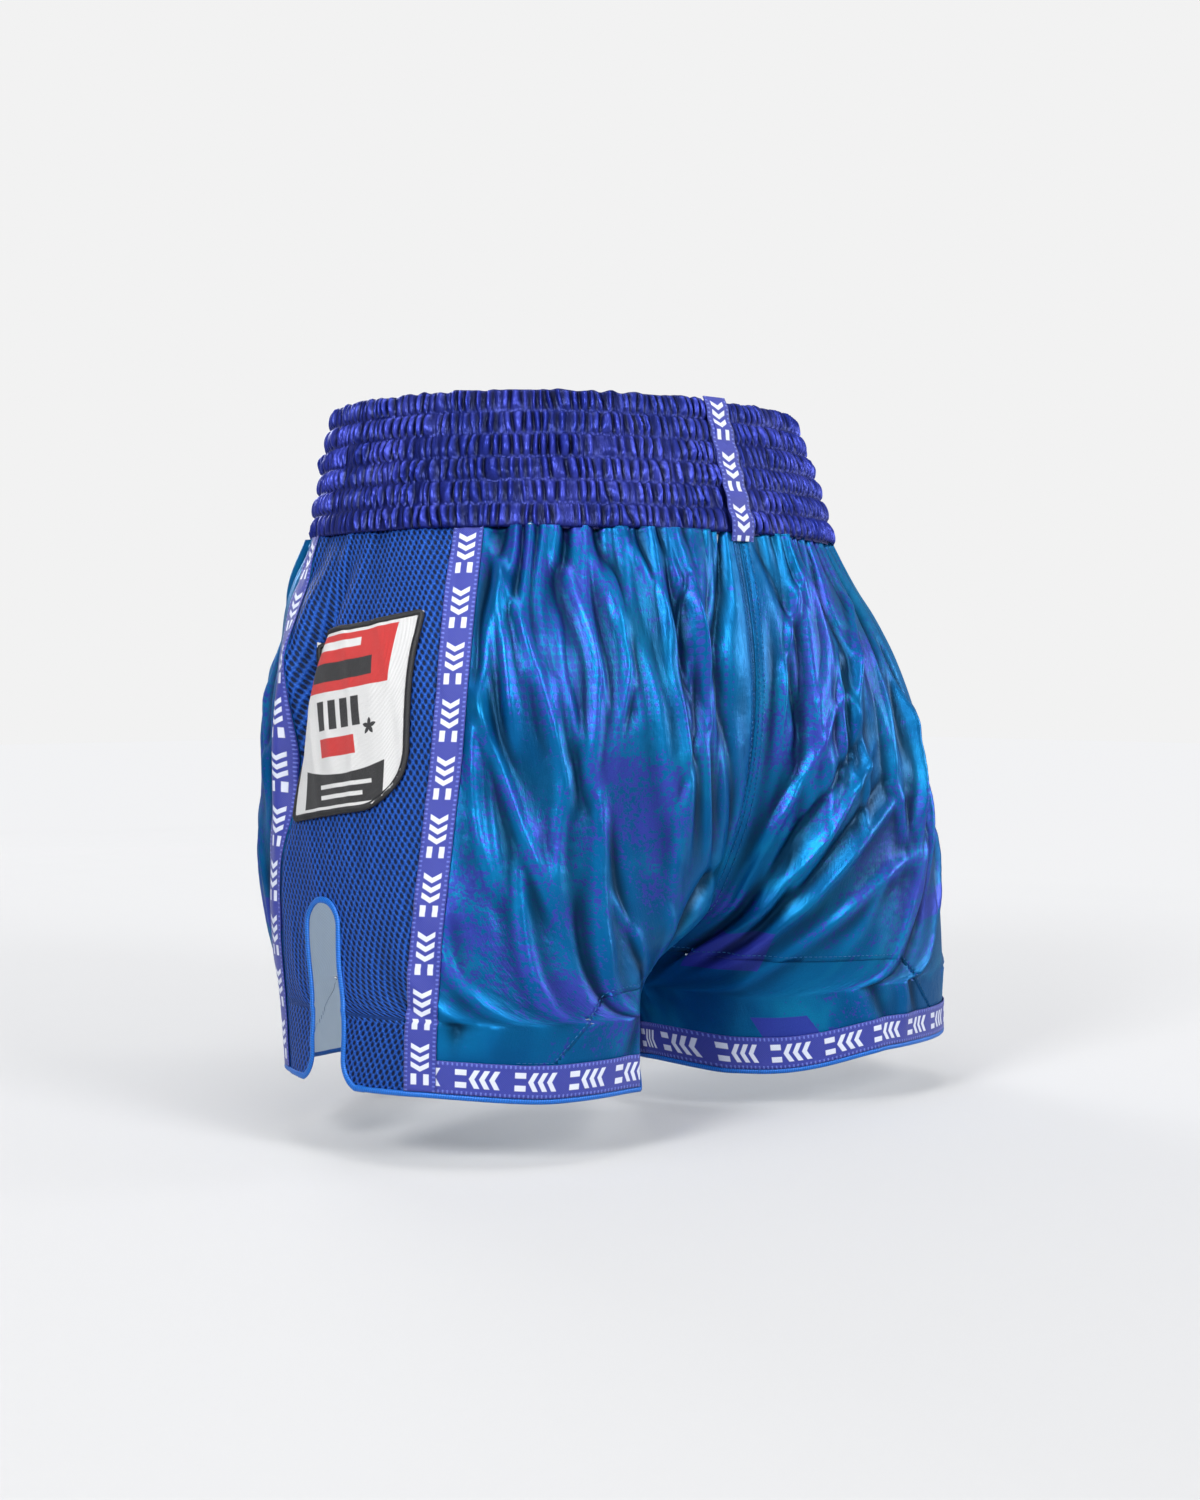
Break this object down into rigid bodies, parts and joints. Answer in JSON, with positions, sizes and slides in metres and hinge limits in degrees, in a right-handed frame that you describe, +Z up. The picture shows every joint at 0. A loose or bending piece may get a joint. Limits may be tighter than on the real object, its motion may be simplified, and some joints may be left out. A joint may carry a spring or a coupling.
{
  "type": "boxing shorts",
  "caption": "Thai-style boxing shorts in printed blue satin with a gathered elastic waistband, mesh side panels, woven tapes, slit legs and an embroidered badge.",
  "frame": {"origin": "under the middle of the garment, on the plane both leg hems stand on", "axes": "+Z up through the waist, -Y towards the garment's front, +X towards the wearer's left"},
  "size_m": [0.3872, 0.2589, 0.33],
  "materials": {
    "satin": "satin",
    "mesh": "matte",
    "band_satin": "satin",
    "woven_tape": "matte",
    "binding_tape": "satin",
    "lining_cloth": "matte",
    "elastic": "matte",
    "eyelet_metal": "polished",
    "badge_twill": "matte",
    "badge_thread": "satin",
    "label_satin": "satin"
  },
  "bodies": {
    "root": {"crotch_gusset": "satin", "mesh_panel_left": "mesh", "mesh_panel_right": "mesh", "front_panel_left": "satin", "front_panel_right": "satin", "back_panel_left": "satin", "back_panel_right": "satin", "side_tape_front_left": "woven_tape", "side_tape_front_right": "woven_tape", "side_tape_back_left": "woven_tape", "side_tape_back_right": "woven_tape", "hem_tape_left": "woven_tape", "hem_tape_right": "woven_tape", "hem_binding_left": "binding_tape", "slit_binding_left": "binding_tape", "hem_binding_right": "binding_tape", "slit_binding_right": "binding_tape", "waistband_shell": "band_satin", "waistband_lining": "lining_cloth", "waist_elastic_1": "elastic", "waist_elastic_2": "elastic", "waist_elastic_3": "elastic", "waist_elastic_5": "elastic", "waist_elastic_6": "elastic", "drawstring_eyelets": "eyelet_metal", "badge_base": "badge_twill", "badge_border": "badge_thread", "waist_tape_back": "woven_tape", "care_label": "label_satin"}
  },
  "joints": []
}
